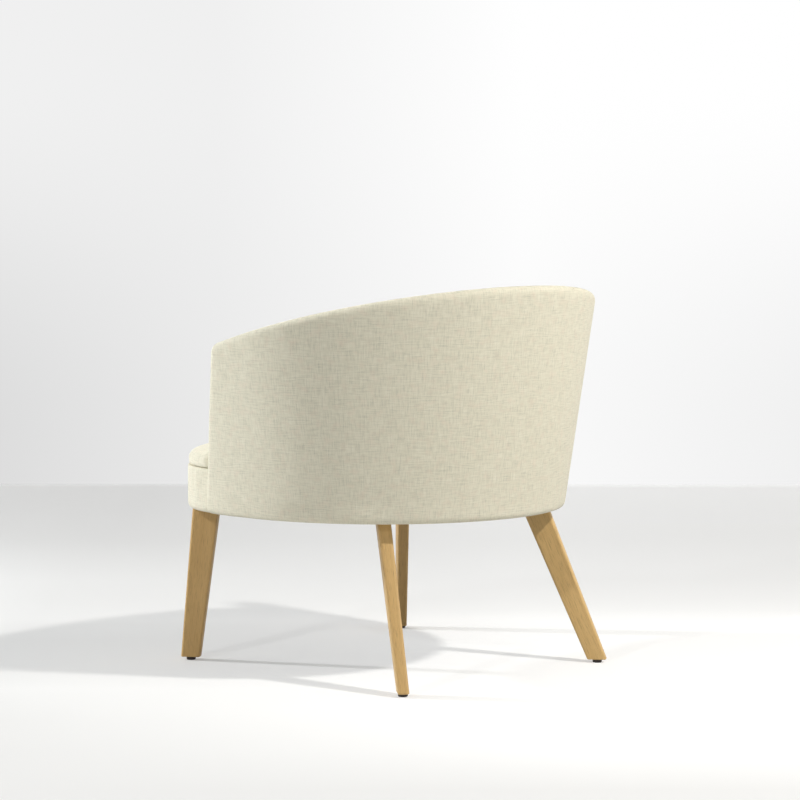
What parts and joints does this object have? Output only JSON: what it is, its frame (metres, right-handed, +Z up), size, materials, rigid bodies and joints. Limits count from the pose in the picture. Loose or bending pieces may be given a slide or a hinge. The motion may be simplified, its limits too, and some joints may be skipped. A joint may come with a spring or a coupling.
{
  "type": "tub armchair",
  "caption": "Upholstered tub lounge armchair with a leaning curved back and arms, a fitted crowned seat cushion and splayed tapered wooden legs on plastic glides.",
  "frame": {"origin": "on the floor, under the middle of the chair's box", "axes": "+Z up, the sitter faces -Y, and the sitter's left is +X"},
  "size_m": [0.8094, 0.729, 0.7411],
  "materials": {
    "oak": "satin lacquer",
    "linen": "slubby plain weave",
    "glide_plastic": "matte",
    "steel": "zinc plated",
    "plywood": "raw",
    "beech": "raw",
    "foam": "matte",
    "webbing": "woven",
    "lining": "nonwoven"
  },
  "bodies": {
    "root": {"border_cover": "linen", "border_padding": "foam", "crosswise_webbing": "webbing", "cushion_cover": "linen", "cushion_foam": "foam", "cushion_underside": "lining", "deck_lining": "lining", "dust_cover": "lining", "dust_cover_staples": "steel", "front_left_glide": "glide_plastic", "front_left_leg": "oak", "front_right_glide": "glide_plastic", "front_right_leg": "oak", "glide_screws": "steel", "inner_cover": "linen", "inner_padding": "foam", "leg_blocks": "beech", "leg_dowels": "beech", "leg_studs": "steel", "lengthwise_webbing": "webbing", "lower_seat_ring": "plywood", "outer_cover": "linen", "plywood_shell": "plywood", "rear_left_glide": "glide_plastic", "rear_left_leg": "oak", "rear_right_glide": "glide_plastic", "rear_right_leg": "oak", "ring_spacers": "beech", "shell_screws": "steel", "shell_wadding": "foam", "tee_nuts": "steel", "upper_seat_ring": "plywood"}
  },
  "joints": []
}
